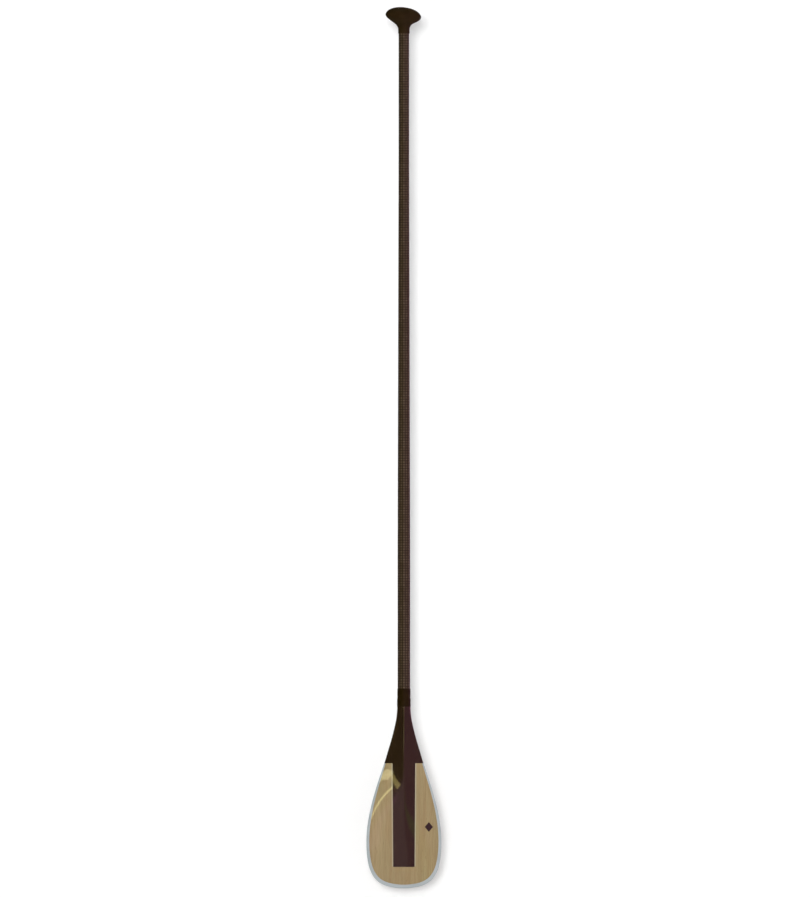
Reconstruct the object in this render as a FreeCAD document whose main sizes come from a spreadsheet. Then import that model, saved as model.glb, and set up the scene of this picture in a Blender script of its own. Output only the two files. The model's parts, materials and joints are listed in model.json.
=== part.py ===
"""Stand-up paddle: one laminated blade, a tapered woven shaft and a moulded palm grip.

Frame: +Z runs up the shaft's axis from the blade to the grip, +X runs across the blade, and the blade's
power face looks towards -Y while its tip leans towards +Y. The origin is on the shaft's axis at the upper
edge of the joint sleeve, where the bare shaft begins. Every length is in millimetres.
"""
import FreeCAD, Part
import math
import os
import Sketcher
from FreeCAD import Placement, Rotation, Vector

# The driving dimensions: alias in the sheet, value, what it measures.
DIMENSIONS = [
    ("shaft_diameter", 30.0, "outside diameter of the shaft's parallel length"),
    ("shaft_top_diameter", 25.3, "outside diameter of the shaft above its taper"),
    ("shaft_length", 1586.0, "bare shaft, from the sleeve to the grip"),
    ("parallel_length", 360.0, "bare shaft of full diameter above the sleeve"),
    ("taper_length", 940.0, "length over which the shaft thins"),
    ("joint_depth", 27.0, "how far the shaft reaches down under the sleeve"),
    ("keying_depth", 0.25, "depth that the shaft is rubbed down under the sleeve"),
    ("ply_thickness", 0.4, "woven outer ply of the shaft"),
    ("tube_wall", 1.2, "structural wall of the shaft under the ply"),
    ("plug_length", 25.0, "foam water stops in the shaft"),
    ("plug_gap", 12.0, "air gap between a water stop and the tenon next to it"),
    ("glue_gap", 0.15, "adhesive film round either tenon"),
    ("sleeve_length", 43.0, "shrunk sleeve over the joint"),
    ("sleeve_wall", 0.85, "wall of the sleeve"),
    ("sleeve_step", 2.5, "length over which the sleeve bulges from the shaft to the neck"),
    ("neck_joint_diameter", 31.0, "neck where it meets the shaft"),
    ("neck_sleeve_diameter", 31.7, "neck at the sleeve's lower edge"),
    ("tenon_length", 75.0, "blade tenon inside the shaft"),
    ("tenon_root_length", 58.0, "blade tenon's root inside the neck"),
    ("tenon_root_diameter", 19.0, "tenon's root at the joint"),
    ("tenon_tail_diameter", 15.0, "tenon's root at its lower end"),
    ("tenon_chamfer", 1.5, "lead-in chamfer on both tenons"),
    ("blade_length", 484.0, "from the sleeve's upper edge to the tip"),
    ("blade_bend", 10.0, "lean of the blade from the shaft's axis, in degrees"),
    ("bend_length", 140.0, "length of neck over which the blade leans over"),
    ("shoulder_height", 303.6, "top edge of the veneer above the tip"),
    ("strip_top_width", 55.0, "centre strip at the shoulder"),
    ("strip_end_width", 51.8, "centre strip at its lower end"),
    ("strip_end_height", 51.8, "lower end of the centre strip above the tip"),
    ("face_ply_thickness", 0.6, "veneer and carbon overlay on either face"),
    ("inner_ply_thickness", 0.5, "structural ply under them"),
    ("spine_width", 16.0, "stiffening web between the foam halves"),
    ("mark_width", 20.0, "printed diamond, across"),
    ("mark_height", 24.0, "printed diamond, along the blade"),
    ("mark_offset", 60.5, "middle of the diamond from the blade's middle"),
    ("mark_level", 149.0, "middle of the diamond above the tip"),
    ("mark_thickness", 0.12, "raised height of the print"),
    ("grip_neck_diameter", 27.6, "moulded neck of the grip"),
    ("grip_width", 87.4, "grip head, tip to tip"),
    ("grip_depth", 38.0, "grip head, front to back"),
    ("grip_height", 37.0, "grip head, along the shaft"),
    ("grip_offset", 1.3, "middle of the head to the left of the axis"),
    ("grip_level", 1631.5, "middle of the grip head above the origin"),
    ("grip_cant", 4.5, "tilt of the head across the shaft, in degrees"),
    ("grip_wall", 3.0, "wall of the moulded grip shells"),
    ("grip_blend", 18.0, "radius between the grip's neck and its head"),
    ("grip_tenon_length", 80.0, "grip plug inside the shaft"),
    ("grip_tenon_reach", 38.0, "grip plug inside the grip"),
]

# The blade's edge as (height above the tip, half width, width of the rail). Above the last station the neck
# is shaped by its own sections.
OUTLINE_STATIONS = [
    (0.0, 0.0, 8.6),
    (1.5, 21.5, 8.6),
    (16.0, 61.8, 8.7),
    (38.0, 79.0, 8.3),
    (67.0, 87.5, 7.6),
    (108.0, 90.8, 7.0),
    (154.0, 87.9, 6.5),
    (212.0, 76.1, 5.4),
    (265.0, 60.3, 4.2),
    (303.6, 47.4, 3.0),
    (340.0, 36.2, 2.4),
]

# Cross-sections of the blade before its edge is trimmed, as (height above the tip, half width, depth in front
# of the middle surface, depth behind it, share of a roof-shaped ridge in the front face).
BLADE_SECTIONS = [
    (415.0, 17.9, 15.2, 15.2, 0.30),
    (385.0, 24.0, 14.0, 13.8, 0.50),
    (350.0, 33.4, 12.4, 11.6, 0.60),
    (325.0, 41.6, 11.2, 9.9, 0.65),
    (295.0, 53.0, 9.9, 8.2, 0.65),
    (255.0, 69.0, 8.4, 6.5, 0.60),
    (212.0, 84.5, 7.1, 5.2, 0.50),
    (170.0, 94.5, 5.6, 4.3, 0.35),
    (130.0, 99.5, 4.3, 3.7, 0.15),
    (90.0, 101.0, 3.5, 3.2, 0.0),
    (45.0, 98.0, 2.8, 2.6, 0.0),
    (-12.0, 92.0, 2.1, 2.1, 0.0),
]

# Points on a quarter of a cross-section, as angles from the blade's edge round to its middle.
SECTION_ANGLES = [0.0, 22.0, 44.0, 64.0, 80.0, 90.0]

SIDE_REACH = 150.0  # reach of the trimming solids beyond the blade, front, back and sides
TIP_REACH = 30.0  # reach of the trimming solids below the tip
MIDDLE_STEPS = 24  # points along the curve that parts the front of the blade from the back
MARGIN = 1.0  # allowance when an edge is told apart by its place

doc = FreeCAD.newDocument("paddle")
sheet = doc.addObject("Spreadsheet::Sheet", "dims")
sub_parts = []


def fill_sheet():
    """Write the driving dimensions into the sheet, one row each."""
    for row, (alias, value, meaning) in enumerate(DIMENSIONS, start=1):
        sheet.set(f"A{row}", meaning)
        sheet.set(f"B{row}", str(value))
        sheet.setAlias(f"B{row}", alias)
    doc.recompute()


def size(expression):
    """The value of an expression in the sheet's aliases."""
    return float(sheet.evalExpression(expression))


def keep(piece, label):
    """Name a piece and list it as a sub-part to be written."""
    piece.Label = label
    sub_parts.append(piece)
    return piece


# Turned pieces: everything that is round about the shaft's axis.


def origin_plane(body, role):
    """One of a body's own origin planes."""
    return next(feature for feature in body.Origin.OriginFeatures if feature.Role == role)


def closed_profile(body, name, corners):
    """A fully constrained outline of straight lines; a corner is a (radius, height) pair of expressions."""
    sketch = body.newObject("Sketcher::SketchObject", name)
    sketch.AttachmentSupport = [(origin_plane(body, "XZ_Plane"), "")]
    sketch.MapMode = "FlatFace"
    points = [Vector(size(radius), size(height), 0) for radius, height in corners]
    for number, point in enumerate(points):
        following = points[(number + 1) % len(points)]
        sketch.addGeometry(Part.LineSegment(point, following), False)
    for number in range(len(points)):
        following = (number + 1) % len(points)
        sketch.addConstraint(Sketcher.Constraint("Coincident", number, 2, following, 1))
    for number, (radius, height) in enumerate(corners):
        for kind, expression, axis in (("DistanceX", radius, -2), ("DistanceY", height, -1)):
            if expression == "0":
                sketch.addConstraint(Sketcher.Constraint("PointOnObject", number, 1, axis))
            else:
                distance = Sketcher.Constraint(kind, -1, 1, number, 1, size(expression))
                index = sketch.addConstraint(distance)
                sketch.setExpression(f"Constraints[{index}]", expression)
    return sketch


def turned_body(name, base, corners):
    """A body turned about the shaft's axis, its profile's heights counted from its own base."""
    body = doc.addObject("PartDesign::Body", name)
    sketch = closed_profile(body, f"{name}_profile", corners)
    doc.recompute()
    turning = body.newObject("PartDesign::Revolution", f"{name}_turning")
    turning.Profile = sketch
    turning.ReferenceAxis = (sketch, ["V_Axis"])
    turning.Angle = 360
    body.setExpression("Placement.Base.z", base)
    return body


SHAFT_RADIUS = "dims.shaft_diameter / 2"
SHAFT_TOP_RADIUS = "dims.shaft_top_diameter / 2"
PLY_BORE = "dims.shaft_diameter / 2 - dims.ply_thickness"
PLY_TOP_BORE = "dims.shaft_top_diameter / 2 - dims.ply_thickness"
BORE = "dims.shaft_diameter / 2 - dims.ply_thickness - dims.tube_wall"
TOP_BORE = "dims.shaft_top_diameter / 2 - dims.ply_thickness - dims.tube_wall"
TAPER_START = "dims.joint_depth + dims.parallel_length"
TAPER_END = "dims.joint_depth + dims.parallel_length + dims.taper_length"
SHAFT_END = "dims.joint_depth + dims.shaft_length"


def shaft_pieces():
    """The tube, its woven ply and the two foam water stops."""
    tube = turned_body("shaft_tube", "-dims.joint_depth", [
        (BORE, "0"),
        (PLY_BORE, "0"),
        (PLY_BORE, TAPER_START),
        (PLY_TOP_BORE, TAPER_END),
        (PLY_TOP_BORE, SHAFT_END),
        (TOP_BORE, SHAFT_END),
        (TOP_BORE, TAPER_END),
        (BORE, TAPER_START),
    ])
    keep(tube, "shaft_tube")
    keyed_radius = f"{SHAFT_RADIUS} - dims.keying_depth"
    ply = turned_body("shaft_outer_ply", "-dims.joint_depth", [
        (PLY_BORE, "0"),
        (keyed_radius, "0"),
        (keyed_radius, "dims.joint_depth"),
        (SHAFT_RADIUS, "dims.joint_depth"),
        (SHAFT_RADIUS, TAPER_START),
        (SHAFT_TOP_RADIUS, TAPER_END),
        (SHAFT_TOP_RADIUS, SHAFT_END),
        (PLY_TOP_BORE, SHAFT_END),
        (PLY_TOP_BORE, TAPER_END),
        (PLY_BORE, TAPER_START),
    ])
    keep(ply, "shaft_outer_ply")
    lower_base = "dims.tenon_length - dims.joint_depth + dims.plug_gap"
    upper_base = "dims.shaft_length - dims.grip_tenon_length - dims.plug_gap - dims.plug_length"
    for name, base, radius in (
        ("shaft_plug_lower", lower_base, BORE),
        ("shaft_plug_upper", upper_base, TOP_BORE),
    ):
        plug = turned_body(name, base, [
            ("0", "0"),
            (radius, "0"),
            (radius, "dims.plug_length"),
            ("0", "dims.plug_length"),
        ])
        keep(plug, name)


def tenon_pieces():
    """The blade's tenon and its adhesive; returns the tenon."""
    tenon_radius = f"{BORE} - dims.glue_gap"
    tenon_end = "dims.tenon_root_length + dims.tenon_length"
    tenon = turned_body("blade_tenon", "-dims.joint_depth - dims.tenon_root_length", [
        ("0", "0"),
        ("dims.tenon_tail_diameter / 2", "0"),
        ("dims.tenon_root_diameter / 2", "dims.tenon_root_length"),
        (tenon_radius, "dims.tenon_root_length"),
        (tenon_radius, f"{tenon_end} - dims.tenon_chamfer"),
        (f"{tenon_radius} - dims.tenon_chamfer", tenon_end),
        ("0", tenon_end),
    ])
    keep(tenon, "blade_tenon")
    film_length = "dims.tenon_length - dims.tenon_chamfer"
    film = turned_body("tenon_glue_film", "-dims.joint_depth", [
        (tenon_radius, "0"),
        (BORE, "0"),
        (BORE, film_length),
        (tenon_radius, film_length),
    ])
    keep(film, "tenon_glue_film")
    return tenon


def sleeve_piece(neck):
    """The sleeve, turned and then fitted over the neck's own form."""
    step = "dims.sleeve_length - dims.joint_depth"
    keyed_radius = f"{SHAFT_RADIUS} - dims.keying_depth"
    blank = turned_body("sleeve_blank", "-dims.sleeve_length", [
        (keyed_radius, "0"),
        ("dims.neck_sleeve_diameter / 2 + dims.sleeve_wall / 2", "0"),
        ("dims.neck_joint_diameter / 2 + dims.sleeve_wall", step),
        (f"{SHAFT_RADIUS} + dims.sleeve_wall", f"{step} + dims.sleeve_step"),
        (f"{SHAFT_RADIUS} + dims.sleeve_wall", "dims.sleeve_length"),
        (keyed_radius, "dims.sleeve_length"),
    ])
    keep(combine("Cut", "joint_sleeve", blank, neck), "joint_sleeve")


# The grip: an ellipsoidal head on a round neck, moulded as a front and a rear shell over foam.


def ellipsoid(name, wall):
    """The grip head's form, drawn in from the outer surface by a wall."""
    head = doc.addObject("Part::Ellipsoid", name)
    head.setExpression("Radius1", f"dims.grip_height / 2 - {wall}")
    head.setExpression("Radius2", f"dims.grip_width / 2 - {wall}")
    head.setExpression("Radius3", f"dims.grip_depth / 2 - {wall}")
    head.Placement = Placement(Vector(), Rotation(Vector(0, 1, 0), size("dims.grip_cant")))
    head.setExpression("Placement.Base.x", "-dims.grip_offset")
    head.setExpression("Placement.Base.z", "dims.grip_level")
    return head


def upright_cylinder(name, radius, height, base):
    """A cylinder on the shaft's axis."""
    cylinder = doc.addObject("Part::Cylinder", name)
    cylinder.setExpression("Radius", radius)
    cylinder.setExpression("Height", height)
    cylinder.setExpression("Placement.Base.z", base)
    return cylinder


def combine(kind, name, base, tool):
    """A boolean of two document objects: kind is Fuse, Cut or Common."""
    result = doc.addObject(f"Part::{kind}", name)
    result.Base = base
    result.Tool = tool
    return result


def half_space(name, front):
    """A block on one side of the plane through the grip's seam."""
    block = doc.addObject("Part::Box", name)
    block.Length = 2 * SIDE_REACH
    block.Width = SIDE_REACH
    block.Height = 2 * SIDE_REACH
    y_start = -SIDE_REACH if front else 0.0
    block.Placement.Base = Vector(-SIDE_REACH, y_start, size("dims.grip_level") - SIDE_REACH)
    return block


def blended_grip():
    """The grip's outer form, with the corner between neck and head rounded."""
    neck_height = "dims.grip_level - dims.shaft_length"
    neck = upright_cylinder("grip_neck_form", "dims.grip_neck_diameter / 2", neck_height, "dims.shaft_length")
    outer = combine("Fuse", "grip_sharp_form", ellipsoid("grip_head_form", "0"), neck)
    doc.recompute()
    neck_radius = size("dims.grip_neck_diameter / 2")
    blend_radius = size("dims.grip_blend")
    corner_edges = []
    for number, edge in enumerate(outer.Shape.Edges, start=1):
        box = edge.BoundBox
        on_neck = box.XLength > neck_radius and box.XMax < neck_radius + MARGIN
        if on_neck and box.ZMin > size("dims.shaft_length") + MARGIN:
            corner_edges.append((number, blend_radius, blend_radius))
    blend = doc.addObject("Part::Fillet", "grip_outer_form")
    blend.Base = outer
    blend.Edges = corner_edges
    doc.recompute()
    return blend


def grip_pieces():
    """Two moulded shells, the foam in the head, the plug and its adhesive."""
    tenon_radius = f"{TOP_BORE} - dims.glue_gap"
    cavity_height = "dims.grip_level - dims.shaft_length"
    bore = upright_cylinder("grip_bore_form", tenon_radius, cavity_height, "dims.shaft_length")
    cavity = combine("Fuse", "grip_cavity_form", ellipsoid("grip_cavity_head", "dims.grip_wall"), bore)
    shells = combine("Cut", "grip_shells", blended_grip(), cavity)
    for name, front in (("grip_front_shell", True), ("grip_rear_shell", False)):
        keep(combine("Common", name, shells, half_space(f"{name}_side", front)), name)
    tenon_end = "dims.grip_tenon_length + dims.grip_tenon_reach"
    tenon = turned_body("grip_tenon", "dims.shaft_length - dims.grip_tenon_length", [
        ("0", "0"),
        (f"{tenon_radius} - dims.tenon_chamfer", "0"),
        (tenon_radius, "dims.tenon_chamfer"),
        (tenon_radius, tenon_end),
        ("0", tenon_end),
    ])
    keep(tenon, "grip_tenon")
    film_length = "dims.grip_tenon_length - dims.tenon_chamfer"
    film = turned_body("grip_glue_film", "dims.shaft_length - dims.grip_tenon_length + dims.tenon_chamfer", [
        (tenon_radius, "0"),
        (TOP_BORE, "0"),
        (TOP_BORE, film_length),
        (tenon_radius, film_length),
    ])
    keep(film, "grip_glue_film")
    foam_form = ellipsoid("grip_foam_form", "dims.grip_wall")
    keep(combine("Cut", "grip_core", foam_form, tenon), "grip_core")


# The blade: lofted through cross-sections, trimmed by its outline, then parted into rail, plies and cores.


def above_tip(height):
    """Height in the model of a level counted up from the blade's tip."""
    return height - size("dims.blade_length")


def lean(height):
    """How far the blade's middle surface has moved towards +Y at a height above the tip."""
    start = size("dims.blade_length - dims.sleeve_length")
    bend = size("dims.bend_length")
    slope = math.tan(math.radians(size("dims.blade_bend")))
    below = max(start - height, 0.0)
    if below < bend:
        return slope * below ** 2 / (2 * bend)
    return slope * (below - bend / 2)


def section_wire(height, half_width, front, back, ridge):
    """One closed cross-section: four curves that meet at the two edges and at the two middles."""
    corners = []
    for side, depth, share in ((-1, front, ridge), (1, back, 0.0)):
        for across in (-1, 1):
            corners.append((side, across, depth, share))
    curves = []
    for side, across, depth, share in corners:
        points = []
        for angle in SECTION_ANGLES:
            run = math.cos(math.radians(angle))
            rise = (1 - share) * math.sin(math.radians(angle)) + share * (1 - run)
            y = lean(height) + side * depth * rise
            points.append(Vector(across * half_width * run, y, above_tip(height)))
        if across * side > 0:
            points.reverse()
        curve = Part.BSplineCurve()
        curve.interpolate(points)
        curves.append(curve.toShape())
    front_left, front_right, back_left, back_right = curves
    return Part.Wire([front_left, front_right, back_right, back_left])


def joint_sections():
    """The two round sections at the top of the neck, inside the sleeve."""
    sections = []
    for height, diameter in (
        ("dims.blade_length - dims.joint_depth", "dims.neck_joint_diameter"),
        ("dims.blade_length - dims.sleeve_length", "dims.neck_sleeve_diameter"),
    ):
        radius = size(diameter) / 2
        sections.append((size(height), radius, radius, radius, 0.0))
    return sections


def blade_form(name, inset):
    """The blade's untrimmed form, drawn in from its outer surface by an inset."""
    wires = []
    for height, half_width, front, back, ridge in joint_sections() + BLADE_SECTIONS:
        wires.append(section_wire(height, half_width - inset, front - inset, back - inset, ridge))
    form = doc.addObject("Part::Feature", name)
    form.Shape = Part.makeLoft(wires, True, False)
    return form


def edge_curve(rail_share):
    """The blade's outline as one curve from the left shoulder round the tip to the right one.

    rail_share is 0 for the outer edge and 1 for the rail's inner edge.
    """
    right = [Vector(half_width, 0, above_tip(height)) for height, half_width, _ in OUTLINE_STATIONS]
    left = [Vector(-point.x, 0, point.z) for point in reversed(right[1:])]
    outline = Part.BSplineCurve()
    outline.interpolate(left + right)
    rails = [rail for _, _, rail in OUTLINE_STATIONS]
    rails = list(reversed(rails[1:])) + rails
    moved = []
    for point, rail in zip(left + right, rails):
        along = outline.tangent(outline.parameter(point))[0]
        inward = Vector(-along.z, 0, along.x)
        moved.append(point + inward * rail * rail_share)
    curve = Part.BSplineCurve()
    curve.interpolate(moved)
    return curve


def planform(name, rail_share):
    """A solid through the blade from front to back, bounded by its outline and clear of the neck."""
    curve = edge_curve(rail_share)
    left, right = curve.StartPoint, curve.EndPoint
    top = above_tip(size("dims.blade_length"))
    corners = [right, Vector(2 * right.x, 0, top), Vector(2 * left.x, 0, top), left]
    outline = Part.Wire([curve.toShape()] + Part.makePolygon(corners).Edges)
    prism = doc.addObject("Part::Feature", name)
    prism.Shape = through_blade(Part.Face(outline))
    return prism


def through_blade(face):
    """Extend a face in the plane of the shaft's axis to both sides, well past the blade."""
    face.translate(Vector(0, -SIDE_REACH, 0))
    return face.extrude(Vector(0, 2 * SIDE_REACH, 0))


def polygon_prism(name, corners):
    """A straight-sided solid through the blade; each corner is a pair (across, height above the tip)."""
    points = [Vector(across, 0, above_tip(height)) for across, height in corners]
    prism = doc.addObject("Part::Feature", name)
    prism.Shape = through_blade(Part.Face(Part.makePolygon(points + points[:1])))
    return prism


def front_side():
    """Everything in front of the blade's middle surface."""
    top = size("dims.blade_length")
    heights = [top - (top + TIP_REACH) * step / MIDDLE_STEPS for step in range(MIDDLE_STEPS + 1)]
    points = [Vector(-SIDE_REACH, lean(height), above_tip(height)) for height in heights]
    middle = Part.BSplineCurve()
    middle.interpolate(points)
    low, high = points[-1], points[0]
    corners = [low, Vector(low.x, -SIDE_REACH, low.z), Vector(high.x, -SIDE_REACH, high.z), high]
    outline = Part.Wire([middle.toShape()] + Part.makePolygon(corners).Edges)
    side = doc.addObject("Part::Feature", "front_side")
    side.Shape = Part.Face(outline).extrude(Vector(2 * SIDE_REACH, 0, 0))
    return side


def carbon_area():
    """The T-shaped area of the carbon overlay: the whole neck and the strip below it."""
    shoulder = size("dims.shoulder_height")
    strip_end = size("dims.strip_end_height")
    half_top = size("dims.strip_top_width / 2")
    half_end = size("dims.strip_end_width / 2")
    top = size("dims.blade_length")
    return polygon_prism("carbon_area", [
        (-half_end, strip_end),
        (half_end, strip_end),
        (half_top, shoulder),
        (SIDE_REACH, shoulder),
        (SIDE_REACH, top),
        (-SIDE_REACH, top),
        (-SIDE_REACH, shoulder),
        (-half_top, shoulder),
    ])


def band(name, left, right, low, high):
    """A rectangular solid through the blade."""
    return polygon_prism(name, [(left, low), (right, low), (right, high), (left, high)])


def blade_pieces(outer, tenon):
    """Rail, overlays, veneers, inner plies, foam halves, spine, neck core and printed mark."""
    inner_inset = size("dims.face_ply_thickness")
    core_inset = size("dims.face_ply_thickness + dims.inner_ply_thickness")
    shoulder = size("dims.shoulder_height")
    top = size("dims.blade_length")

    under_face = blade_form("under_face_form", inner_inset)
    core = blade_form("core_form", core_inset)
    outline = planform("outline", 0.0)
    veneer_outline = planform("veneer_outline", 1.0)
    neck_band = band("neck_band", -SIDE_REACH, SIDE_REACH, shoulder, top)
    blade_band = band("blade_band", -SIDE_REACH, SIDE_REACH, -TIP_REACH, shoulder)
    front = front_side()
    carbon = carbon_area()

    trimmed = combine("Common", "trimmed_blade", outer, outline)
    lower_blade = combine("Common", "lower_blade", trimmed, blade_band)
    keep(combine("Cut", "edge_rail", lower_blade, veneer_outline), "edge_rail")

    inside_rail = combine("Fuse", "inside_rail", veneer_outline, neck_band)
    laminate = combine("Common", "laminate", trimmed, inside_rail)
    face_plies = combine("Cut", "face_plies", laminate, under_face)
    inner_block = combine("Common", "inner_block", laminate, under_face)
    inner_plies = combine("Cut", "inner_plies", inner_block, core)
    core_block = combine("Common", "core_block", laminate, core)

    front_faces = combine("Common", "front_faces", face_plies, front)
    back_faces = combine("Cut", "back_faces", face_plies, front)
    keep(combine("Common", "carbon_front", front_faces, carbon), "carbon_front")
    keep(combine("Common", "carbon_back", back_faces, carbon), "carbon_back")
    keep(combine("Cut", "veneer_front", front_faces, carbon), "veneer_front")
    keep(combine("Cut", "veneer_back", back_faces, carbon), "veneer_back")
    keep(combine("Common", "inner_ply_front", inner_plies, front), "inner_ply_front")
    keep(combine("Cut", "inner_ply_back", inner_plies, front), "inner_ply_back")

    half_spine = size("dims.spine_width / 2")
    spine = band("spine_band", -half_spine, half_spine, -TIP_REACH, shoulder)
    left = band("left_band", -SIDE_REACH, -half_spine, -TIP_REACH, shoulder)
    right = band("right_band", half_spine, SIDE_REACH, -TIP_REACH, shoulder)
    keep(combine("Common", "spine_stringer", core_block, spine), "spine_stringer")
    keep(combine("Common", "blade_core_left", core_block, left), "blade_core_left")
    keep(combine("Common", "blade_core_right", core_block, right), "blade_core_right")
    neck_block = combine("Common", "neck_block", core_block, neck_band)
    keep(combine("Cut", "neck_core", neck_block, tenon), "neck_core")

    raised = blade_form("raised_form", -size("dims.mark_thickness"))
    across, level = size("dims.mark_offset"), size("dims.mark_level")
    half_across, half_along = size("dims.mark_width / 2"), size("dims.mark_height / 2")
    diamond = polygon_prism("mark_area", [
        (across - half_across, level),
        (across, level - half_along),
        (across + half_across, level),
        (across, level + half_along),
    ])
    raised_diamond = combine("Common", "raised_diamond", raised, diamond)
    raised_film = combine("Cut", "raised_film", raised_diamond, outer)
    keep(combine("Common", "blade_mark", raised_film, front), "blade_mark")


def check_document():
    """Stop if any object failed or any sub-part isn't a valid solid."""
    for item in doc.Objects:
        if "Invalid" in item.State or "Error" in item.State:
            raise RuntimeError(f"{item.Label} did not recompute: {item.State}")
    for piece in sub_parts:
        shape = piece.Shape
        if shape.isNull() or not shape.isValid() or not shape.Solids:
            raise RuntimeError(f"{piece.Label} is not a valid solid")


def write_sub_parts():
    """Write each sub-part to its own STEP file."""
    os.makedirs("parts", exist_ok=True)
    for piece in sub_parts:
        piece.Shape.exportStep(f"parts/{piece.Label}.step")
        print(f"{piece.Label}: {len(piece.Shape.Solids)} solid(s), {piece.Shape.Volume / 1000:.2f} cm3")


fill_sheet()
shaft_pieces()
blade_tenon = tenon_pieces()
blade_outer = blade_form("outer_form", 0.0)
sleeve_piece(blade_outer)
grip_pieces()
blade_pieces(blade_outer, blade_tenon)
doc.recompute()
check_document()
write_sub_parts()
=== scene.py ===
"""Looks for the stand-up paddle: smooth meshes, node materials, soft light and a camera.

The frame is the CAD part's own: +Z runs up the shaft's axis, +X runs across the blade, the power face looks
towards -Y, and the origin is on the axis at the joint sleeve's upper edge. The shapes below are worked out in
millimetres, like the part's own dimensions, and every mesh is made in metres.
"""
import json
import math

import bmesh
import bpy
import numpy as np
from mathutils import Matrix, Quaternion, Vector


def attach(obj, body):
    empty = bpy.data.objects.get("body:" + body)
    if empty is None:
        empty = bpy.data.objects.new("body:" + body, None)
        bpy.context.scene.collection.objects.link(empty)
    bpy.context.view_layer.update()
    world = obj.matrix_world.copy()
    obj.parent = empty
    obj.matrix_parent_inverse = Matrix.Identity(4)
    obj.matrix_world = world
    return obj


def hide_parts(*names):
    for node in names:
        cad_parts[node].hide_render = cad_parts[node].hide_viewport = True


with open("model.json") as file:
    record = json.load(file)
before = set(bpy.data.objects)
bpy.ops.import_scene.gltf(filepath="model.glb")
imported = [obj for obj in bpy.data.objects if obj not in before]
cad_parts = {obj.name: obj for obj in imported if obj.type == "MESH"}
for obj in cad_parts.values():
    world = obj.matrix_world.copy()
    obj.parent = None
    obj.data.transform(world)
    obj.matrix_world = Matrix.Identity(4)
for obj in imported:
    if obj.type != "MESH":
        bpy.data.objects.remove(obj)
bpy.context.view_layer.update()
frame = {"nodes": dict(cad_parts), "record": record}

MM = 0.001
WELD = 1e-7  # metres between vertices that are joined into one
TINY = 1e-9  # stands in for a length of zero where something is divided by it
SHARP_ANGLE = 35.0  # faces that meet at more degrees than this show a crisp edge

# How finely each mesh is divided, in points along it (rows) and across or round it (columns).
EDGE_POINTS = 561
NECK_ROWS = 70
STRIP_ROWS = 110
STRIP_COLUMNS = 49
STRIP_CROWDING = 1.5  # above 1, the strip's columns are closer together at the ridge
ARM_COLUMNS = 25
VENEER_COLUMNS = 30
VENEER_MIDDLE_COLUMNS = 27
RAIL_FLAT_COLUMNS = 5
RAIL_ROUND_COLUMNS = 10
MARK_POINTS = 17
SHAFT_STRIP_ROWS = 20
SHAFT_COLUMNS = 120
SLEEVE_ROWS = 84
SLEEVE_COLUMNS = 144
GRIP_ROWS = 130
GRIP_COLUMNS = 73

# Blade, in millimetres. Heights are counted up from the tip.
BLADE_LENGTH = 484.0
JOINT_HEIGHT = 457.0  # top of the blade's neck, inside the sleeve
BEND_START = 441.0  # lower edge of the sleeve, where the blade begins to lean back
BEND_LENGTH = 140.0
BEND_SLOPE = math.tan(math.radians(10.0))
SHOULDER = 303.6  # top edge of the veneer
STRIP_END = 51.8  # lower end of the carbon strip
STRIP_HALF_TOP = 27.5
STRIP_HALF_END = 25.9
NECK_BLEND = (318.0, 345.0)  # heights between which the outline gives way to the neck's own sections
RIDGE_HIGHLIGHT_END, RIDGE_HIGHLIGHT_FADE = 300.0, 400.0  # heights between which the painted highlight along the ridge dies out
RIDGE_HIGHLIGHT_SPREAD = (0.4, 1.7)  # distances from the middle between which the painted highlight fades sideways
FRINGE = (1.6, 3.6)  # distances from the strip between which the veneer's paler fringe fades
FRINGE_END = 3.0  # height above the strip's end by which the fringe has come in
FACE_PLY = 0.6
THINNEST_EDGE = 0.01
SEAM_START = 288.0  # height above which the rail's upper end turns square to the shoulder
TIP_GAP = 1.0  # the veneer's sides start this far from the middle of the tip
ROW_GAP = 0.8  # rows of the veneer nearer than this to the strip's end give way to one row on it

# Height above the tip, half width, width of the rail.
OUTLINE = [
    (0.0, 0.0, 8.6),
    (1.5, 21.5, 8.6),
    (16.0, 61.8, 8.7),
    (38.0, 79.0, 8.3),
    (67.0, 87.5, 7.6),
    (108.0, 90.8, 7.0),
    (154.0, 87.9, 6.5),
    (212.0, 76.1, 5.4),
    (265.0, 60.3, 4.2),
    (SHOULDER, 47.4, 3.0),
    (340.0, 36.2, 2.4),
]

# Height above the tip, half width before trimming, depth in front, depth behind, share of a roofed ridge.
SECTIONS = [
    (JOINT_HEIGHT, 15.5, 15.5, 15.5, 0.0),
    (BEND_START, 15.85, 15.85, 15.85, 0.0),
    (415.0, 17.9, 15.2, 15.2, 0.30),
    (385.0, 24.0, 14.0, 13.8, 0.50),
    (350.0, 33.4, 12.4, 11.6, 0.60),
    (325.0, 41.6, 11.2, 9.9, 0.65),
    (295.0, 53.0, 9.9, 8.2, 0.65),
    (255.0, 69.0, 8.4, 6.5, 0.60),
    (212.0, 84.5, 7.1, 5.2, 0.50),
    (170.0, 94.5, 5.6, 4.3, 0.35),
    (130.0, 99.5, 4.3, 3.7, 0.15),
    (90.0, 101.0, 3.5, 3.2, 0.0),
    (45.0, 98.0, 2.8, 2.6, 0.0),
    (-12.0, 92.0, 2.1, 2.1, 0.0),
]

# Height above the tip, sharpness of the ridge's crest as a share of the half width.
CREST = [(0.0, 0.20), (130.0, 0.16), (175.0, 0.09), (215.0, 0.03), (260.0, 0.014), (JOINT_HEIGHT, 0.02)]

# Printed diamond on the power face.
MARK_ACROSS = 60.5
MARK_LEVEL = 149.0
MARK_HALF_WIDTH = 10.0
MARK_HALF_HEIGHT = 12.0
MARK_FILM = 0.12

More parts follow.
